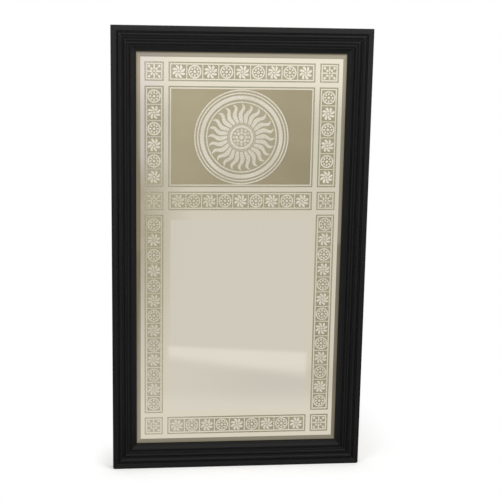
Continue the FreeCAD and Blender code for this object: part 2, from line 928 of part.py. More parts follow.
def ray_edge(side):
    """Points along one edge of a ray that stands along +X, from root to tip."""
    root, tip = ray_root_radius.number, ray_tip_radius.number
    points = []
    for number in range(RAY_STEPS + 1):
        share = number / RAY_STEPS
        radius = root + (tip - root) * share
        swing = math.radians(SWING_DEGREES) * math.sin(2 * math.pi * share ** SWING_LEAN)
        if share < BELLY_SHARE:
            part = math.sin(share / BELLY_SHARE * math.pi / 2)
            width = size.ray_root_width.number + (size.ray_width - size.ray_root_width).number * part
        else:
            part = (share - BELLY_SHARE) / (1 - BELLY_SHARE)
            narrowing = (size.ray_tip_width - size.ray_width).number
            width = size.ray_width.number + narrowing * part ** TAPER_POWER
        angle = swing + side * width / 2 / radius
        points.append(FreeCAD.Vector(radius * math.cos(angle), 0, radius * math.sin(angle)))
    return points


def make_rays():
    edges = []
    sides = [ray_edge(-1), ray_edge(1)]
    for points in sides:
        curve = Part.BSplineCurve()
        curve.interpolate(points)
        edges.append(curve.toShape())
    edges.append(Part.makeLine(sides[0][0], sides[1][0]))
    edges.append(Part.makeLine(sides[0][-1], sides[1][-1]))
    face = Part.Face(Part.Wire(Part.__sortEdges__(edges)))
    ray = face.extrude(vector(nought, -size.figure_thickness, nought))
    solids = []
    count = int(size.ray_count.number)
    for number in range(count):
        solid = ray.copy()
        solid.rotate(FreeCAD.Vector(0, 0, 0), FreeCAD.Vector(0, 1, 0), 360 * number / count)
        solid.translate(vector(nought, figure_face, sun_z))
        solids.append(solid)
    feature_of("sun_rays", Part.makeCompound(solids))


make_rays()


# Rosette: a rim, two rings of round-ended petals and a boss

def petals(name, circle, length, width, count):
    """Oval petals set in a ring. The length of each lies along its own radius."""
    solids = []
    middle = FreeCAD.Vector(0, 0, 0)
    for number in range(int(count.number)):
        longer, shorter = max(length.number, width.number), min(length.number, width.number)
        face = Part.Face(Part.Wire(Part.Ellipse(middle, longer / 2, shorter / 2).toShape()))
        if length.number < width.number:
            face.rotate(middle, FreeCAD.Vector(0, 0, 1), 90)
        solid = face.extrude(FreeCAD.Vector(0, 0, size.figure_thickness.number))
        solid.translate(vector(circle, nought, nought))
        solid.rotate(middle, FreeCAD.Vector(1, 0, 0), 90)
        solid.rotate(middle, FreeCAD.Vector(0, 1, 0), 360 * number / count.number)
        solid.translate(vector(nought, figure_face, sun_z))
        solids.append(solid)
    return feature_of(name, Part.makeCompound(solids))


petal_circle = size.rosette_radius - size.rosette_line - size.petal_gap - size.petal_length / 2
petal_foot = petal_circle - size.petal_length / 2
inner_petal_circle = petal_foot - size.inner_petal_gap - size.inner_petal_length / 2
compound("sun_rosette", [
    ring("rosette_rim", size.rosette_radius, size.rosette_line),
    petals("outer_petals", petal_circle, size.petal_length, size.petal_width, size.petal_count),
    petals("inner_petals", inner_petal_circle, size.inner_petal_length, size.inner_petal_width,
           size.inner_petal_count),
    disc("rosette_boss", size.rosette_boss, size.figure_thickness, figure_face),
])

NODES = [
    "top_rail", "bottom_rail", "left_stile", "right_stile",
    "upper_left_bracket", "upper_right_bracket", "lower_left_bracket", "lower_right_bracket",
    "bracket_screws",
    "mirror_glass", "silver_backing", "edge_slips", "backing_board", "board_points",
    "left_hanger_strap", "right_hanger_strap", "left_hanger_ring", "right_hanger_ring",
    "hanger_screws", "left_wall_buffer", "right_wall_buffer",
    "etched_outlines", "tile_grounds", "sun_panel", "sun_rings", "sun_rays", "sun_rosette",
]

doc.recompute()
for thing in doc.Objects:
    faults = [state for state in thing.State if state in ("Invalid", "Error")]
    if faults:
        raise RuntimeError("%s is %s" % (thing.Label, faults))
parts = [doc.getObjectsByLabel(name)[0] for name in NODES]
for part in parts:
    if part.Shape.isNull() or not part.Shape.isValid():
        raise RuntimeError("%s has no sound shape" % part.Label)
os.makedirs("parts", exist_ok=True)
for part in parts:
    part.Shape.exportStep("parts/%s.step" % part.Label)
    box = part.Shape.BoundBox
    print("%-22s %3d solids %12.1f mm3  x %8.2f %8.2f  y %7.2f %7.2f  z %8.2f %8.2f" % (
        part.Label, len(part.Shape.Solids), part.Shape.Volume,
        box.XMin, box.XMax, box.YMin, box.YMax, box.ZMin, box.ZMax))
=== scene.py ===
# %% [markdown]
# # A tall mirror with a reeded black frame and an ornamented glass
#
# The joiner's parts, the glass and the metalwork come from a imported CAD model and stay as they
# are. This script gives each of them its finish, adds the small silvered figures that sit on the
# tiles of the border, and puts the mirror on a pale studio floor in front of a camera.

import math

import bmesh
import bpy
from mathutils import Euler, Matrix, Vector


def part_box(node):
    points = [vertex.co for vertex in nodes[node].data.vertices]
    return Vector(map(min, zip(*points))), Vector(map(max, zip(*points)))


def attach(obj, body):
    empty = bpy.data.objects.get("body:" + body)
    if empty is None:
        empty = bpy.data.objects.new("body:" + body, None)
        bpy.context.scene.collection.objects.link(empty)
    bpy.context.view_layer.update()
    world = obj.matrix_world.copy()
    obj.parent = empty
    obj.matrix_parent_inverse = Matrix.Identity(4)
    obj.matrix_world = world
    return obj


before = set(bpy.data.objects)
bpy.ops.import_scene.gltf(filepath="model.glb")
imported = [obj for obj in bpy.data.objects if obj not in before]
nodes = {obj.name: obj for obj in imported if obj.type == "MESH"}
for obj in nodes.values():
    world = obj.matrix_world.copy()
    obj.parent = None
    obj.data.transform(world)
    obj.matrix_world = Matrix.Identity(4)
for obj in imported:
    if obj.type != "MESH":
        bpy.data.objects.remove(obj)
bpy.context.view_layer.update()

# %% [markdown]
# ## Camera
#
# The mirror is seen by somebody standing a little to its left, looking down at it. A long lens
# from about three metres keeps its upright edges nearly parallel. The camera's turns were found
# by matching the corners of the frame and of the glass, so they are typed in as angles.

# %% Camera
EYE_PLACE = (-0.34369, -3.29104, 1.35509)
EYE_TURN_DEGREES = (78.1737, -1.0289, -6.2611)
LENS_MM = 83.639

lens = bpy.data.cameras.new("studio_lens")
lens.lens = LENS_MM
lens.sensor_width = 36.0
camera = bpy.data.objects.new("studio_camera", lens)
camera.location = EYE_PLACE
camera.rotation_euler = Euler([math.radians(angle) for angle in EYE_TURN_DEGREES])
bpy.context.scene.collection.objects.link(camera)
bpy.context.scene.camera = camera
bpy.context.scene.view_settings.view_transform = "Standard"
print("camera at", EYE_PLACE, "with a", LENS_MM, "mm lens")

# %% [markdown]
# ## Node helpers
#
# A finish is a small network of nodes. It could be clicked together in the shader editor, or
# written out link by link. Here a `Wire` stands for a socket, and sums on wires add the Math
# nodes they need, so a mask can be written as `1 - grain * 0.5`.

# %% Wires
class Wire:
    """A node's output. Sums on wires add Math nodes."""

    def __init__(self, web, socket):
        self.web = web
        self.socket = socket

    def sum(self, operation, first, second):
        return self.web.node("Math", {"operation": operation}, {0: first, 1: second})

    def __add__(self, other):
        return self.sum("ADD", self, other)

    def __radd__(self, other):
        return self.sum("ADD", other, self)

    def __sub__(self, other):
        return self.sum("SUBTRACT", self, other)

    def __rsub__(self, other):
        return self.sum("SUBTRACT", other, self)

    def __mul__(self, other):
        return self.sum("MULTIPLY", self, other)

    def __rmul__(self, other):
        return self.sum("MULTIPLY", other, self)

    def __abs__(self):
        return self.sum("ABSOLUTE", self, 0.0)

    def least(self, other):
        return self.sum("MINIMUM", self, other)

    def most(self, other):
        return self.sum("MAXIMUM", self, other)


print("wires take + - * and abs, and least and most against another wire")

# %% [markdown]
# A `Web` stands for a whole node tree. Every node comes from its one method `node`, which sets the
# node's choices and then joins its inputs: a wire is linked, and a plain number or colour is typed
# into the socket. A step is a Map Range node, whose smooth rise gives a mask a soft edge.

# %% Webs
class Web:
    """A node tree, and the one method that adds nodes to it."""

    def __init__(self, tree):
        self.tree = tree

    def join(self, source, socket):
        if isinstance(source, Wire):
            self.tree.links.new(source.socket, socket)
        elif isinstance(source, tuple) and len(source) == 3 and len(socket.default_value) == 4:
            socket.default_value = (*source, 1.0)
        else:
            socket.default_value = source

    def node(self, kind, settings=None, inputs=None, output=0):
        made = self.tree.nodes.new("ShaderNode" + kind)
        for name, choice in (settings or {}).items():
            setattr(made, name, choice)
        for name, source in (inputs or {}).items():
            self.join(source, made.inputs[name])
        return Wire(self, made.outputs[output])

    def step(self, value, low, high):
        """0 below low, 1 above high and a smooth rise between them."""
        return self.node("MapRange", {"interpolation_type": "SMOOTHSTEP"},
                         {"Value": value, "From Min": low, "From Max": high})

    def band(self, value, rise, fall):
        """1 between the rise and the fall, each a pair of places, and 0 outside them."""
        return self.step(value, *rise) * (1 - self.step(value, *fall))

    def mix(self, share, first, second):
        """The first colour where share is 0 and the second where it is 1."""
        return self.node("Mix", {"data_type": "RGBA"}, {0: share, 6: first, 7: second}, 2)


print("a web adds any node, and steps, bands and mixes by name")

# %% [markdown]
# A `Finish` is a material. It starts from the Principled shader that a new material has, and from
# the place of each point on its object. Object coordinates are used throughout, because every
# piece has its object at the origin, so a place on the mirror is the same number in all of them.

# %% Finishes
class Finish(Web):
    """A material: its web of nodes, its shader and the place of each point on the object."""

    def __init__(self, name, **constants):
        self.material = bpy.data.materials.new(name)
        self.material.use_nodes = True
        super().__init__(self.material.node_tree)
        self.shader = self.tree.nodes["Principled BSDF"]
        for socket, constant in constants.items():
            self.shader.inputs[socket.replace("_", " ")].default_value = constant
        self.place = self.node("TexCoord", output="Object")
        self.x, self.y, self.z = [
            self.node("SeparateXYZ", None, {0: self.place}, axis) for axis in range(3)]

    def feed(self, socket, source):
        self.join(source, self.shader.inputs[socket])

    def noise(self, grain_size, detail=3.0, stretch=(1.0, 1.0, 1.0)):
        """Soft random spots of about grain_size metres. A small stretch draws them out."""
        place = self.node("VectorMath", {"operation": "MULTIPLY"}, {0: self.place, 1: stretch})
        return self.node("TexNoise", None,
                         {"Vector": place, "Scale": 1.0 / grain_size, "Detail": detail})

    def bump(self, height, depth, strength=1.0):
        """Raise the surface by the height wire times depth metres."""
        raised = {"Strength": strength, "Distance": depth, "Height": height}
        self.feed("Normal", self.node("Bump", None, raised))


def dress(finish, *names):
    """Give a finish to CAD nodes, on the slots of their own objects."""
    for name in names:
        for slot in nodes[name].material_slots:
            slot.material = finish.material
    print(finish.material.name, "on", ", ".join(names))


print("a finish adds noise and bumps, and dresses the pieces that are named with it")

# %% [markdown]
# Colours are easiest to choose as they look on a screen, but a shader adds up light, so it wants
# them without the screen's curve. Leaving that out would make every finish too pale.

# %% Colours
def screen(red, green, blue):
    """A colour as it shows on a screen, from 0 to 255, as the linear values a shader works in."""
    shares = [channel / 255.0 for channel in (red, green, blue)]
    return tuple(share / 12.92 if share <= 0.04045 else ((share + 0.055) / 1.055) ** 2.4
                 for share in shares)


print("a screen's middle grey is", round(screen(128, 128, 128)[0], 3), "to a shader")

# %% [markdown]
# ## Studio
#
# A mirror shows what stands before it, so that matters as much as the lamps. A real studio would
# put white card in front of the glass, leave darker gaps beside it and stand a pale wall behind.
# Here the world does that by the way that a ray is heading, which a world's Generated coordinates
# give. It costs no mesh, and nothing of it shows in the picture but its reflection.

# %% World
world = bpy.data.worlds.new("studio_world")
bpy.context.scene.world = world
world.use_nodes = True
air = Web(world.node_tree)
heading = air.node("TexCoord", output="Generated")
rightwards, backwards, upwards = [
    air.node("SeparateXYZ", None, {0: heading}, axis) for axis in range(3)]
print("world:", world.name)

# %% [markdown]
# A reflection sees the card. Rays that head downwards find it plain, those near level find it
# lighter and then brightest, and above level it has a dimmer band. A gap darkens it on either
# side, and more card stands far to the right and overhead, where the mouldings catch it.

# %% Card before the glass
CARD, CARD_RISE = 0.97, 0.32
BRIGHT_BAND, DIM_BAND = 1.5, 0.48
LEFT_GAP, RIGHT_GAP = 0.27, 0.42
SIDE_CARD, TOP_CARD = 0.85, 0.4

bright_band = air.band(upwards, (-0.02, 0.03), (0.08, 0.15))
dim_band = air.band(upwards, (0.08, 0.15), (0.3, 0.42))
card_rise = air.step(upwards, -0.1, -0.052)
card = CARD + CARD_RISE * card_rise + BRIGHT_BAND * bright_band - DIM_BAND * dim_band
left_gap = air.step(rightwards * -1, 0.08, 0.2)
right_gap = air.band(rightwards, (0.22, 0.34), (0.52, 0.72))
side_card = air.step(rightwards, 0.6, 0.85)
top_card = air.step(upwards, 0.35, 0.65)
mirrored_level = (1 - left_gap * LEFT_GAP - right_gap * RIGHT_GAP) * card
mirrored_level += (side_card * SIDE_CARD).most(top_card * TOP_CARD)
print("card of", CARD, "and", round(CARD + CARD_RISE, 2), "with a band of", BRIGHT_BAND, "more")

# %% [markdown]
# Matt surfaces get an even light from everywhere, and more of it from a pale wall behind, so that
# the mirror's back isn't lost in shade. The camera itself sees plain white. The Light Path node
# tells these rays apart. The card also has a slightly cooler patch in its middle, so that the
# silver isn't one tone all over.

# %% Light for each kind of ray
AMBIENT, WALL_BEHIND = 0.42, 0.9
PLAIN_LIGHT, COOL_LIGHT = (1.0, 1.0, 1.0), (0.99, 0.98, 1.12)

wall_behind = air.step(backwards, 0.1, 0.7) * (1 - air.step(upwards, 0.3, 0.8))
matt_level = AMBIENT + WALL_BEHIND * wall_behind
seen = air.node("LightPath", output="Is Camera Ray")
through = air.node("LightPath", output="Is Transmission Ray")
mirrored = air.node("LightPath", output="Is Glossy Ray")
direct = seen.most(through)
level = direct + (1 - direct) * (mirrored * mirrored_level + (1 - mirrored) * matt_level)
cool_side = air.band(rightwards, (-0.2, -0.04), (0.015, 0.05))
cool_patch = mirrored * cool_side * air.step(upwards, -0.16, -0.13)
background = world.node_tree.nodes["Background"]
air.join(level, background.inputs["Strength"])
air.join(air.mix(cool_patch, PLAIN_LIGHT, COOL_LIGHT), background.inputs["Color"])
print("world: light of", AMBIENT, "from all round and", WALL_BEHIND, "more from behind")

# %% [markdown]
# A soft lamp above and to the right models the mouldings, and one lower on the left lights the
# near side. Both are large squares, as soft boxes are, so shadows have no edge.

# %% Lamps
def soft_box(name, place, aim, width, watts):
    """A square lamp at a place, turned to face its aim."""
    lamp = bpy.data.lights.new(name, "AREA")
    lamp.shape = "SQUARE"
    lamp.size = width
    lamp.energy = watts
    box = bpy.data.objects.new(name, lamp)
    box.location = place
    box.rotation_euler = (Vector(aim) - Vector(place)).to_track_quat("-Z", "Y").to_euler()
    bpy.context.scene.collection.objects.link(box)
    print(name, watts, "W at", place)


soft_box("right_box", place=(1.3, -1.4, 2.9), aim=(0.0, 0.0, 0.8), width=1.4, watts=34.0)
soft_box("left_box", place=(-2.2, -2.6, 2.4), aim=(0.0, 0.0, 0.6), width=1.8, watts=45.0)

# %% [markdown]
# ## Floor
#
# The floor is a plain pale sheet, one square of mesh. A studio would roll paper up behind the
# mirror in a curve. Here the floor is as white to the camera as the world beyond it, so its far
# edge doesn't show and no curve is needed.

# %% Floor
FLOOR_HALF = 3.0

board = bmesh.new()
bmesh.ops.create_grid(board, x_segments=1, y_segments=1, size=FLOOR_HALF)
floor_mesh = bpy.data.meshes.new("studio_floor")
board.to_mesh(floor_mesh)
board.free()
floor = bpy.data.objects.new("studio_floor", floor_mesh)
bpy.context.scene.collection.objects.link(floor)
print("floor:", FLOOR_HALF * 2, "m square")

# %% [markdown]
# Where the lamps reach it the camera sees the floor as white, and it keeps the mirror's shadow
# round the foot: what its own shading lacks is filled up with a glow that fades in with the
# distance from the frame, faster on the left than on the right, and faster in front than behind.
# A floor without a glow would have to be lit much more to look white, and the lamps that did it
# would bleach the mirror too.

# %% Shadow round the foot
outer_x, back_face, top_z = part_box("top_rail")[1]
SHADOW_REACH = (0.02, 0.42)
LEFT_HASTE, RIGHT_HASTE = 6.0, 2.3
BEHIND_LEFT, BEHIND_RIGHT_LESS, BEFORE = 1.8, 1.43, -3.0

sheet = Finish("pale_floor", Roughness=0.9, Specular_IOR_Level=0.0, Emission_Strength=1.0)
on_right = sheet.step(sheet.x, 0.0, 0.3)
to_left, to_right = sheet.x * -1 - outer_x, sheet.x - outer_x
beside = (to_left * LEFT_HASTE).most(to_right * RIGHT_HASTE).most(0.0)
along = (sheet.y * (BEHIND_LEFT - BEHIND_RIGHT_LESS * on_right)).most(sheet.y * BEFORE)
away = sheet.node("CombineXYZ", None, {0: beside, 1: along})
reach = sheet.node("VectorMath", {"operation": "LENGTH"}, {0: away}, "Value")
near = 1 - sheet.step(reach, *SHADOW_REACH)
print("shadow fades over", SHADOW_REACH, "m")

# %% [markdown]
# In the glass the floor has to be seen too, or the lower half of the mirror would be blank. To
# reflected rays it glows with painted light: paler close to the foot, with a painted strip of
# light across it about a metre in front, wider on the right, and a faint painted dip in
# brightness before the strip. The bevels look at other parts of the floor than the flat glass
# does, and those parts are given painted shade, so that the bevels read as grey lines all round.

# %% Strip across the floor
NEAR_EDGE, NEAR_TURN = (0.93, 1.1), 0.5
FAR_EDGE, FAR_TURN = (1.19, 1.24), 0.22
RIGHT_END, RIGHT_TURN = (0.2, 0.215), 0.167
LEFT_END, LEFT_TURN = (-0.215, -0.2), 0.042

ahead = sheet.y * -1
strip = sheet.step(ahead + NEAR_TURN * sheet.x, *NEAR_EDGE)
strip *= 1 - sheet.step(ahead + FAR_TURN * sheet.x, *FAR_EDGE)
strip *= 1 - sheet.step(sheet.x - RIGHT_TURN * ahead, *RIGHT_END)
strip *= sheet.step(sheet.x - LEFT_TURN * ahead, *LEFT_END)
print("strip from", NEAR_EDGE[0], "to", FAR_EDGE[1], "m in front")

# %% Floor in the glass
FLOOR_SEEN = 0.975
STRIP, NEAR_GLOW, DIP = 0.17, 0.08, 0.06
FOOT_SHADE, RIGHT_SHADE, LEFT_SHADE = 0.54, 0.6, 0.39

dip = DIP * sheet.step(sheet.x, -0.15, 0.2) * sheet.band(ahead, (0.45, 0.65), (0.85, 1.0))
by_foot = 1 - sheet.step(ahead, 0.5, 0.75)
foot_shade = FOOT_SHADE * (1 - sheet.step(ahead, 0.14, 0.21))
right_shade = RIGHT_SHADE * sheet.step(sheet.x - ahead * 0.35, 0.26, 0.32)
left_shade = LEFT_SHADE * sheet.step(sheet.x * -1 - ahead * 0.13, 0.27, 0.32)
shade = 1 - foot_shade.most(right_shade).most(left_shade)
in_glass = (FLOOR_SEEN + STRIP * strip + NEAR_GLOW * by_foot - dip) * shade
print("floor in the glass:", FLOOR_SEEN, "and", STRIP, "more on the strip")

# %% [markdown]
# The sheet's own colour counts in the shadow and for light that bounces off it. Elsewhere it fades
# out as the glow takes over, because the two together would show pools of light under the lamps.

# %% Floor's colour and glow
LIT_SHADE = 0.7
PALE, UNLIT = (0.82, 0.82, 0.81), (0.0, 0.0, 0.0)

looked_at = sheet.node("LightPath", output="Is Camera Ray")
reflected = sheet.node("LightPath", output="Is Glossy Ray")
unseen = 1 - looked_at.most(reflected)
sheet.feed("Base Color", sheet.mix(looked_at * near + unseen, UNLIT, PALE))
glow = looked_at * (1 - near * LIT_SHADE) + reflected * in_glass
sheet.feed("Emission Color", sheet.node("CombineXYZ", None, {0: glow, 1: glow, 2: glow}))
floor_mesh.materials.append(sheet.material)
print("floor glows", round(1 - LIT_SHADE, 2), "in the shadow and 1 outside it")

# %% [markdown]
# ## Ebonised wood
#
# The frame is softwood, filled, stained and varnished black. A flat black would look like plastic.
# What tells the eye it is wood is the grain that still prints through the varnish as fine ridges
# and streaks along each length, a sheen that comes and goes, and a little wear: the outer edge
# and the mitres are rubbed, and the foot rail has caught some dust, so it shines less. The outer
# flat is painted greyer towards the top, a painted highlight for the light that falls from above.
# The back was never polished, so it shows bare timber with black runs at its edges. Rails and
# stiles lie at right angles, so the grain is turned for each.

# %% Frame colours, wear and painted sheen
BLACK = screen(11, 11, 12)
STREAK = screen(22, 21, 20)
RUBBED = screen(70, 65, 58)
# This grey is real dust on the foot rail, and a painted highlight on the upper outer flat.
DUST_AND_SHEEN = screen(43, 43, 42)
PINE = screen(176, 142, 100)
PINE_DARK = screen(140, 104, 66)
EDGE_RUB = (0.0004, 0.0022)
SEAM_RUB = (0.0004, 0.0014)
FLAT_ENDS = (0.0145, 0.0155)
SHEEN_RISES_FROM = (0.6, 1.25)
RUNS = (0.002, 0.006)
ALONG_RAIL, ALONG_STILE = (0.03, 1.0, 1.0), (1.0, 1.0, 0.03)
print("frame: back at", round(back_face, 4), "top at", round(top_z, 4))


# %% Frame finish
def ebonised(name, stretch, shine=0.17, dust=0.0):
    """Black varnish over grain that runs along the stretch, and bare pine behind."""
    finish = Finish(name, Specular_IOR_Level=shine)
    grain = finish.noise(0.0016, 4.0, stretch)
    figure = finish.noise(0.012, 3.0, stretch)
    cloud = finish.noise(0.09, 2.0)
    ridges = grain * 0.6 + figure * 0.4
    black = finish.mix(finish.step(ridges, 0.42, 0.66), BLACK, STREAK)

    from_side, from_top = outer_x - abs(finish.x), top_z - finish.z
    to_edge = from_side.least(finish.z).least(from_top)
    worn_edge = finish.step(finish.noise(0.02, 5.0), 0.56, 0.7)
    edge_rub = (1 - finish.step(to_edge, *EDGE_RUB)) * worn_edge
    from_mitre = abs(from_side - finish.z.least(from_top))
    worn_seam = finish.step(finish.noise(0.009, 3.0), 0.42, 0.6)
    seam_rub = (1 - finish.step(from_mitre, *SEAM_RUB)) * worn_seam
    on_flat = 1 - finish.step(to_edge, *FLAT_ENDS)
    # Painted highlight: the outer flat greys towards the top, where the light falls from above.
    painted_upper_sheen = 0.5 * on_flat * finish.step(finish.z, *SHEEN_RISES_FROM)
    dust_and_sheen = finish.mix(painted_upper_sheen.most(dust), black, DUST_AND_SHEEN)
    face = finish.mix(edge_rub.most(seam_rub) * 0.5, dust_and_sheen, RUBBED)

    timber = finish.mix(finish.step(figure, 0.35, 0.65), PINE, PINE_DARK)
    wavy = to_edge + (finish.noise(0.03, 4.0) - 0.5) * 0.012
    rear_face = finish.mix(1 - finish.step(wavy, *RUNS), timber, black)
    rear = finish.step(finish.y, back_face - 0.0004, back_face - 0.0001)
    finish.feed("Base Color", finish.mix(rear, face, rear_face))
    finish.feed("Roughness", 0.36 + 0.3 * dust + 0.14 * cloud + 0.1 * grain + 0.18 * rear)
    finish.bump(ridges, 0.00012)
    return finish


dress(ebonised("ebonised_top", ALONG_RAIL), "top_rail")
dress(ebonised("ebonised_foot", ALONG_RAIL, shine=0.12, dust=0.3), "bottom_rail")
dress(ebonised("ebonised_stile", ALONG_STILE, shine=0.145), "left_stile", "right_stile")

# %% [markdown]
# ## Silvered glass
#
# A looking glass is clear glass with silver behind it. It could be built as a refracting slab over
# a metal sheet, but that is slow and hides the pattern in noise, so one warm metal surface stands
# for both. The places of the margins and the clear pane are read from the CAD pieces, so that the
# finish keeps to them. How much of each bevel shows is typed in, since the lip hides the rest.

# %% Places on the glass
sight_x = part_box("left_stile")[1][0]
sight_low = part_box("bottom_rail")[1][2]
sight_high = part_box("top_rail")[0][2]
panel_low, panel_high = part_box("sun_panel")
tile_row = sight_high - panel_high[2]
pane_low = sight_low + tile_row
pane_high = panel_low[2] - tile_row
SIDE_BEVEL_SEEN = 0.0126
END_BEVEL_SEEN = 0.016
print("clear pane from", round(pane_low, 4), "to", round(pane_high, 4))

# %% Bevels and clear pane
PANE_BLUR = 0.0008
BEVEL_BLUR = (-0.0003, 0.0002)

glass = Finish("silvered_glass", Metallic=1.0)
to_stile = abs(sight_x) - abs(glass.x)
to_rail = (glass.z - sight_low).least(sight_high - glass.z)
to_frame = to_stile.least(to_rail)
inside_bevels = (to_stile - SIDE_BEVEL_SEEN).least(to_rail - END_BEVEL_SEEN)
bevels = 1 - glass.step(inside_bevels, *BEVEL_BLUR)
to_margin = (panel_high[0] - abs(glass.x)).least(glass.z - pane_low).least(pane_high - glass.z)
clear = glass.step(to_margin, -PANE_BLUR, PANE_BLUR)
print("bevels show", SIDE_BEVEL_SEEN, "m at the sides and", END_BEVEL_SEEN, "m at the ends")

# %% [markdown]
# Old silvering is darkest where damp creeps in under the frame, and fades from there in soft brown
# specks. The dark rim along the frame is partly that damp and partly painted shade, and the bevels
# are painted darker, a painted reflection of the darker things they face. Under the top rail a
# deeper painted shade stands for the black lip seen in the glass. The margins round the tiles have
# gone a little warmer than the clear pane in the middle, and are clouded on the left. The plate is
# never quite flat, so a broad and very low bump bends what it shows.

# %% Mirror glass
SILVER = screen(209, 204, 190)
WARM_SILVER = screen(211, 204, 186)
SMOKE_AND_SHADE = screen(150, 140, 114)
SPECK = screen(120, 108, 86)
LIP_SHADE = screen(44, 41, 33)

# The rim along the frame: real damp in the silver, and painted shade as well.
damp_and_rim_shade = 1 - glass.step(to_frame + (glass.noise(0.02, 4.0) - 0.5) * 0.003, -0.001, 0.009)
cloud_high = glass.step(glass.z, 0.25, 0.75) * (1 - 0.75 * glass.step(glass.z, 0.84, 0.98))
clouding = glass.step(glass.x * -1, 0.12, 0.33) * cloud_high
clouding *= (0.75 + 0.5 * glass.noise(0.05, 3.0)) * (1 - 0.9 * clear)
plate = glass.mix(clear, WARM_SILVER, SILVER)
# The bevels get painted shade, the rim its damp and painted shade, and the clouding its real
# smoke.
smoke_and_shade = glass.mix(bevels * 0.46 + damp_and_rim_shade * 0.5 + clouding * 0.72, plate, SMOKE_AND_SHADE)
# Painted shade just under the top rail, for the black lip seen in the glass.
under_lip = 1 - glass.step(sight_high - glass.z, 0.0, 0.0075)
silver = glass.mix(under_lip * 0.9, smoke_and_shade, LIP_SHADE)
specks = glass.step(glass.noise(0.004, 5.0), 0.66, 0.74) * (1 - glass.step(to_frame, 0.0, 0.06))
glass.feed("Base Color", glass.mix(specks * 0.5, silver, SPECK))
glass.feed("Roughness", 0.035 + 0.02 * glass.noise(0.15, 2.0) + 0.12 * specks)
glass.bump(glass.noise(0.35, 1.0), 0.0012, 0.35)
dress(glass, "mirror_glass")

# %% [markdown]
# ## Film on the pattern
#
# Smoke and polish have left a film on the glass, which makes the light and the dark of the
# pattern more alike. It is mixed into the finishes of both, so it is written before them. On the
# borders it is thicker to the left and along the three rows, most of all on the middle one. On the
# sun it is thin, and thicker over the rosette.

# %% Films
PALE_FILM = screen(210, 204, 186)
BROWN_FILM = screen(173, 167, 139)
FOOT_ROW_TOP = (0.14, 0.15)
MIDDLE_ROW_FOOT, MIDDLE_ROW_TOP = (0.76, 0.77), (0.84, 0.85)
TOP_ROW_FOOT = (1.13, 1.15)
sun_low, sun_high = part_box("sun_rings")
sun_height = (sun_low[2] + sun_high[2]) / 2
sun_radius = (sun_high[2] - sun_low[2]) / 2
print("sun of radius", round(sun_radius, 4), "at height", round(sun_height, 4))


def side_film(finish, colour):
    """A border's colour under the film, which is paler at the foot and the top."""
    in_foot_row = 1 - finish.step(finish.z, *FOOT_ROW_TOP)
    in_middle_row = finish.band(finish.z, MIDDLE_ROW_FOOT, MIDDLE_ROW_TOP)
    in_top_row = finish.step(finish.z, *TOP_ROW_FOOT)
    row_share = 0.11 * in_top_row + 0.18 * in_middle_row + 0.12 * in_foot_row
    thinner_high = 1 - 0.65 * finish.step(finish.z, 0.84, 0.98)
    side_share = 0.48 * finish.step(finish.x * -1, 0.0, 0.28) * thinner_high
    brown = finish.step(finish.z, 0.1, 0.55) * (1 - in_top_row)
    return finish.mix(side_share + row_share, colour, finish.mix(brown, PALE_FILM, BROWN_FILM))


def disc_film(finish, colour):
    """The panel's colour under a pale film, thin inside the outer ring, thicker on the rosette."""
    spot = finish.node("CombineXYZ", None, {0: finish.x, 1: finish.z - sun_height})
    reach = finish.node("VectorMath", {"operation": "LENGTH"}, {0: spot}, "Value")
    in_disc = 1 - finish.step(reach, sun_radius - 0.003, sun_radius - 0.001)
    on_rosette = 1 - finish.step(reach, 0.034, 0.042)
    return finish.mix(0.12 * in_disc + 0.16 * on_rosette, colour, PALE_FILM)


# %% [markdown]
# ## Etched grounds
#
# The dark parts of the pattern are bitten with acid, so they scatter light and keep a soft
# tan. A fine grain of pits gives the etch its satin look, and broad clouds show where the
# acid lay longer.

# %% Etched finishes
def etched(name, light, dark, film, lean=0.0):
    """An etched ground. A lean paints shade on it: darker to the right and, half as much, lower
    down.
    """
    finish = Finish(name, Metallic=0.32, Specular_IOR_Level=0.3)
    clouds = finish.noise(0.16, 3.0)
    pits = finish.noise(0.0007, 2.0)
    # Painted shade: darker to the right and, half as much, lower down.
    painted_slope_shade = finish.step(finish.x, -0.25, 0.25) + 0.5 * (1 - finish.step(finish.z, 0.88, 1.1))
    patchy = finish.step(clouds * 0.8 + pits * 0.2, 0.35, 0.65)
    ground = finish.mix(patchy * (1 - 1.5 * lean) + painted_slope_shade * lean, light, dark)
    finish.feed("Base Color", film(finish, ground))
    finish.feed("Roughness", 0.5 + 0.12 * pits)
    finish.bump(pits, 0.00004)
    return finish


# The sun panel gets a lean of 0.5 of painted shade.
dress(etched("etched_panel", screen(172, 162, 134), screen(148, 138, 111), disc_film, 0.5),
      "sun_panel")
dress(etched("etched_tile", screen(164, 157, 131), screen(155, 149, 122), side_film),
      "tile_grounds")
dress(etched("etched_line", screen(160, 158, 133), screen(148, 145, 119), side_film),
      "etched_outlines")

# %% [markdown]
# ## Silvered figures
#
# The light figures keep their silver. They are nearly as bright as the mirror but not as sharp,
# because the acid has nibbled at them, so the silver gets a wider highlight and a faint stipple.

# %% Figure finish
def silvered(name, light, dark, film):
    """Nibbled silver: a broad wash of tone under the film, with a faint stipple."""
    finish = Finish(name, Metallic=0.85)
    stipple = finish.noise(0.0011, 3.0)
    wash = finish.noise(0.11, 3.0)
    silver = finish.mix(finish.step(stipple * 0.25 + wash * 0.75, 0.36, 0.64), light, dark)
    finish.feed("Base Color", film(finish, silver))
    finish.feed("Roughness", 0.24 + 0.06 * stipple)
    finish.bump(stipple, 0.00001)
    return finish


dress(silvered("sun_silver", screen(206, 200, 184), screen(194, 187, 170), disc_film),
      "sun_rings", "sun_rays", "sun_rosette")
tile_silver = silvered("tile_silver", screen(220, 214, 199), screen(208, 202, 185), side_film)

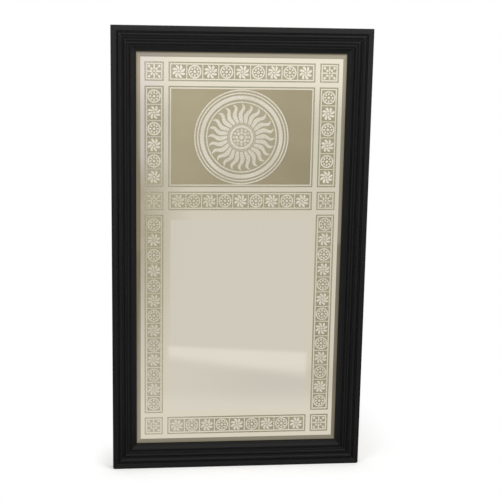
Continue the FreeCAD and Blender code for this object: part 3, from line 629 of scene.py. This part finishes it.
# %% [markdown]
# ## Places of the tiles
#
# Each tile's dark ground is one loose island of the CAD mesh `tile_grounds`. Reading the islands
# keeps the figures on their tiles whatever the frame's size. Merging the mesh's doubled corners
# first joins its loose triangles into those islands.

# %% Read the tiles
def islands(node_name):
    """The lowest and highest corner of each separate island of a CAD node's mesh."""
    copy = bmesh.new()
    copy.from_mesh(nodes[node_name].data)
    bmesh.ops.remove_doubles(copy, verts=copy.verts, dist=1e-6)
    waiting = set(copy.verts)
    found = []
    while waiting:
        group = [waiting.pop()]
        for vertex in group:
            for edge in vertex.link_edges:
                neighbour = edge.other_vert(vertex)
                if neighbour in waiting:
                    waiting.discard(neighbour)
                    group.append(neighbour)
        low = Vector([min(vertex.co[axis] for vertex in group) for axis in range(3)])
        high = Vector([max(vertex.co[axis] for vertex in group) for axis in range(3)])
        found.append((low, high))
    copy.free()
    return found


tiles = islands("tile_grounds")
tile_front = min(low.y for low, high in tiles)
middles = [(low + high) / 2 for low, high in tiles]
half_tile = min(min(high.x - low.x, high.z - low.z) for low, high in tiles) / 2
print(len(tiles), "tiles, and half a tile is", round(half_tile * 1000, 2), "mm")

# %% [markdown]
# Two figures take turns along each run of tiles. The rows across begin with a flower, and the
# runs down the sides, between two rows, begin with a ring. A tile that lies in a row and in a side
# column is a corner. Sorting the tiles from the top left and counting along each run is enough to
# tell which figure each of them carries.

# %% Sort the tiles
MIDDLE_COLUMN, SIDE_COLUMN = 0.02, 0.21
SAME_ROW = 0.002

row_heights = sorted({round(middle.z, 3) for middle in middles if abs(middle.x) < MIDDLE_COLUMN})
flower_places, ring_places, corner_places = [], [], []
side_counts = {}
for middle in sorted(middles, key=lambda place: (-round(place.z, 3), round(place.x, 3))):
    in_row = any(abs(middle.z - height) < SAME_ROW for height in row_heights)
    if abs(middle.x) > SIDE_COLUMN and in_row:
        corner_places.append(middle)
        continue
    if in_row:
        run = ("row", round(middle.z, 3))
        first_is_flower = True
    else:
        above_tile = sum(height > middle.z for height in row_heights)
        run = ("side", middle.x > 0, above_tile)
        first_is_flower = False
    number = side_counts.get(run, 0)
    side_counts[run] = number + 1
    is_flower = (number % 2 == 0) == first_is_flower
    (flower_places if is_flower else ring_places).append(middle)
print("tiles:", len(flower_places), "flowers,", len(ring_places), "rings and",
      len(corner_places), "corners")

# %% [markdown]
# ## Figures on the tiles
#
# Each figure stands a hair proud of its ground, as silver does beside an etch. It is drawn flat
# round the tile's centre, then raised. One petal is enough for a flower, because a spin that
# duplicates makes the others.

# %% Raise and spin
FIGURE_HIGH = 0.00015


def raise_faces(shape):
    """Give the flat faces their height, and point every face outwards."""
    risen = bmesh.ops.extrude_face_region(shape, geom=list(shape.faces))
    tops = [part for part in risen["geom"] if isinstance(part, bmesh.types.BMVert)]
    bmesh.ops.translate(shape, verts=tops, vec=(0, 0, FIGURE_HIGH))
    bmesh.ops.recalc_face_normals(shape, faces=shape.faces)


def spin_copies(shape, verts, count):
    """Repeat the faces on these points round the tile's centre, to count in all."""
    chosen = set(verts)
    faces = [face for face in shape.faces if all(vertex in chosen for vertex in face.verts)]
    around = 2 * math.pi * (count - 1) / count
    bmesh.ops.spin(shape, geom=faces, cent=(0, 0, 0), axis=(0, 0, 1), angle=around,
                   steps=count - 1, use_duplicate=True)


print("figures stand", FIGURE_HIGH * 1000, "mm high")

# %% [markdown]
# A petal could be drawn point by point. A round disc that is pulled out into a club and swept over
# to one side has the same soft outline, and the disc serves as the flower's centre dot too.

# %% Dots and petals
def dot(shape, radius, corners=12, centre=(0.0, 0.0)):
    """A flat disc."""
    made = bmesh.ops.create_circle(shape, cap_ends=True, segments=corners, radius=radius)
    bmesh.ops.translate(shape, verts=made["verts"], vec=(*centre, 0))
    return made["verts"]


def petal(shape, root, tip, width, narrowing, lean=0.0, corners=10):
    """A club from root to tip, narrower at its root, that leans over by lean radians."""
    verts = dot(shape, 1.0, corners)
    for vertex in verts:
        along = (vertex.co.x + 1) / 2
        radius = root + (tip - root) * along
        side = vertex.co.y * width / 2 * (1 - narrowing * (1 - along))
        vertex.co = Matrix.Rotation(lean * along, 3, "Z") @ Vector((radius, side, 0))
    return verts


print("a petal and its dot are both discs")

# %% [markdown]
# All the flowers have one finish and never move, so they are one piece. The drawing is stood
# upright once, and a copy of it is laid on each tile.

# %% One piece from many copies
UPRIGHT = Matrix.Rotation(math.radians(90), 3, "X")


def lay_figures(name, pattern, places, finish):
    """One piece that holds a copy of the pattern on each tile."""
    pattern_mesh = bpy.data.meshes.new(name + "_pattern")
    bmesh.ops.rotate(pattern, verts=pattern.verts, cent=(0, 0, 0), matrix=UPRIGHT)
    pattern.to_mesh(pattern_mesh)
    pattern.free()
    whole = bmesh.new()
    for place in places:
        whole.from_mesh(pattern_mesh)
        fresh = whole.verts[-len(pattern_mesh.vertices):]
        bmesh.ops.translate(whole, verts=fresh, vec=(place.x, tile_front, place.z))
    mesh = bpy.data.meshes.new(name)
    whole.to_mesh(mesh)
    open_edges = sum(not edge.is_manifold for edge in whole.edges)
    whole.free()
    mesh.materials.append(finish.material)
    piece = bpy.data.objects.new(name, mesh)
    bpy.context.scene.collection.objects.link(piece)
    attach(piece, "frame")
    print(name, "has", len(places), "copies,", len(mesh.polygons), "faces and",
          open_edges, "open edges")


print("figures lie at", round(tile_front, 5), "m")

# %% [markdown]
# ## Flower tiles
#
# Every other tile holds a flower of eight clubs that lean round its centre dot, all the same way,
# as if the flower turned.

# %% Flower figure
flower = bmesh.new()
club = petal(flower, root=half_tile * 0.2, tip=half_tile * 0.98, width=half_tile * 0.5,
             narrowing=0.6, lean=0.4, corners=14)
spin_copies(flower, club, 8)
dot(flower, half_tile * 0.16)
raise_faces(flower)
lay_figures("tile_flowers", flower, flower_places, tile_silver)

# %% [markdown]
# ## Ring tiles
#
# The tiles between them hold a smaller flower of eight round petals inside a broad hoop. The
# hoop could be cut from a disc, but two circles and a bridge between them need no cutting.

# %% Ring figure
def hoop(shape, radius, width, steps=28):
    """A flat ring: an inner and an outer circle, bridged."""
    edges = []
    for rim in (radius - width / 2, radius + width / 2):
        made = bmesh.ops.create_circle(shape, cap_ends=False, segments=steps, radius=rim)
        edges += list({edge for vertex in made["verts"] for edge in vertex.link_edges})
    bmesh.ops.bridge_loops(shape, edges=edges)


rosette = bmesh.new()
round_petal = petal(rosette, root=half_tile * 0.34, tip=half_tile * 0.7,
                    width=half_tile * 0.38, narrowing=0.6)
spin_copies(rosette, round_petal, 8)
dot(rosette, half_tile * 0.2)
hoop(rosette, half_tile * 0.87, half_tile * 0.18)
raise_faces(rosette)
lay_figures("tile_rosettes", rosette, ring_places, tile_silver)

# %% [markdown]
# ## Corner tiles
#
# Where two borders meet, the tile carries a flower of eight petals, with a leaf pointing into
# each corner and a bead by each side. They are the same petal and dot again, spun.

# %% Corner figure
corner = bmesh.new()
dot(corner, half_tile * 0.15)
corner_petal = petal(corner, root=half_tile * 0.26, tip=half_tile * 0.7,
                     width=half_tile * 0.4, narrowing=0.5)
spin_copies(corner, corner_petal, 8)
leaf = petal(corner, root=half_tile * 0.8, tip=half_tile * 1.22, width=half_tile * 0.4,
             narrowing=0.2, corners=12)
to_the_corner = Matrix.Rotation(math.radians(45), 3, "Z")
bmesh.ops.rotate(corner, verts=leaf, cent=(0, 0, 0), matrix=to_the_corner)
spin_copies(corner, leaf, 4)
bead = dot(corner, half_tile * 0.14, corners=10, centre=(half_tile * 0.84, 0.0))
spin_copies(corner, bead, 4)
raise_faces(corner)
lay_figures("corner_figures", corner, corner_places, tile_silver)

# %% [markdown]
# ## Behind the glass
#
# The silver is sealed with a lead-grey paint. It was brushed on, so the noise that varies its tone
# is drawn out along the strokes, and the same noise raises the surface a little.

# %% Backing paint
paint = Finish("back_paint", Roughness=0.55)
brushing = paint.noise(0.01, 4.0, (0.08, 1.0, 1.0))
paint.feed("Base Color", paint.mix(brushing, screen(132, 127, 123), screen(112, 107, 104)))
paint.bump(brushing, 0.0001)
dress(paint, "silver_backing")

# %% [markdown]
# A sheet of hardboard keeps knocks off the paint. Its rough side faces out, printed with the weave
# of the press screen. A picture of a weave would blur close by, so two sine waves make it, one
# along and one across, multiplied. Over it lie the fluff of the fibres and broad old stains.

# %% Hardboard
WEAVE_PITCH = 0.0018
BOARD_TAN, BOARD_BROWN = screen(132, 94, 62), screen(104, 72, 47)
WEAVE_BROWN = screen(84, 58, 38)

fibre = Finish("hardboard", Specular_IOR_Level=0.2)
fluff = fibre.noise(0.003, 6.0)
stain = fibre.noise(0.2, 4.0)
threads = [fibre.node("Math", {"operation": "SINE"}, {0: way * (2 * math.pi / WEAVE_PITCH)})
           for way in (fibre.x, fibre.z)]
weave = threads[0] * threads[1] * 0.5 + 0.5
stained = fibre.step(fluff * 0.6 + stain * 0.4, 0.35, 0.65)
tone = fibre.mix(stained, BOARD_TAN, BOARD_BROWN)
fibre.feed("Base Color", fibre.mix(weave * 0.25, tone, WEAVE_BROWN))
fibre.feed("Roughness", 0.78 + 0.14 * fluff)
fibre.bump(weave * 0.7 + fluff * 0.5, 0.0002)
dress(fibre, "backing_board")

# %% [markdown]
# The slips that centre the glass are offcuts of pine, left bare, so they take the two tones of the
# frame's back.

# %% Slips
slip = Finish("slip_wood", Roughness=0.7)
slip_grain = slip.noise(0.002, 4.0)
slip.feed("Base Color", slip.mix(slip_grain, PINE, PINE_DARK))
slip.bump(slip_grain, 0.00008)
dress(slip, "edge_slips")

# %% [markdown]
# ## Metalwork
#
# The brackets are zinc-plated, with the blotchy spangle and dull grey of age. The screws and
# points are plain steel gone brown in places, and the hangers have a thin wash of brass that
# has worn to darker metal. One recipe does for all: a bright and a dull tone, blotches of
# tarnish, and fine scratches in the bump.

# %% Metal finishes
def metal(name, bright, dull, tarnish, spread, roughness):
    """Aged metal. The spread is how far its spots of tarnish have grown."""
    finish = Finish(name, Metallic=1.0)
    blotch = finish.noise(0.006, 4.0)
    spots = finish.step(finish.noise(0.0025, 5.0), 0.74 - spread, 0.86 - spread)
    scratch = finish.noise(0.0004, 2.0, (1.0, 1.0, 0.12))
    finish.feed("Base Color", finish.mix(spots, finish.mix(blotch, bright, dull), tarnish))
    finish.feed("Metallic", 1 - spots * 0.7)
    finish.feed("Roughness", roughness + 0.12 * blotch + 0.3 * spots)
    finish.bump(scratch * 0.6 + spots * 0.4, 0.00003)
    return finish


dress(metal("zinc_plate", bright=screen(190, 192, 196), dull=screen(146, 149, 154),
            tarnish=screen(122, 116, 108), spread=0.12, roughness=0.34),
      "upper_left_bracket", "upper_right_bracket", "lower_left_bracket", "lower_right_bracket")
dress(metal("screw_steel", bright=screen(176, 172, 164), dull=screen(120, 114, 106),
            tarnish=screen(96, 68, 46), spread=0.16, roughness=0.36),
      "bracket_screws", "hanger_screws")
dress(metal("point_steel", bright=screen(150, 148, 144), dull=screen(104, 100, 96),
            tarnish=screen(92, 60, 40), spread=0.2, roughness=0.4),
      "board_points")
dress(metal("brassed_steel", bright=screen(214, 182, 112), dull=screen(168, 136, 78),
            tarnish=screen(92, 76, 52), spread=0.14, roughness=0.28),
      "left_hanger_strap", "right_hanger_strap", "left_hanger_ring", "right_hanger_ring")

# %% [markdown]
# ## Buffers
#
# Two rubber studs hold the foot of the frame off the wall. Moulded rubber is matt and dark,
# greyed by dust, with a fine orange-peel skin.

# %% Rubber finish
rubber = Finish("buffer_rubber", Specular_IOR_Level=0.3)
skin = rubber.noise(0.0008, 3.0)
dust = rubber.step(rubber.noise(0.006, 4.0), 0.45, 0.75)
rubber.feed("Base Color", rubber.mix(dust * 0.5, screen(44, 43, 42), screen(96, 92, 86)))
rubber.feed("Roughness", 0.7 + 0.2 * dust)
rubber.bump(skin, 0.00008)
dress(rubber, "left_wall_buffer", "right_wall_buffer")
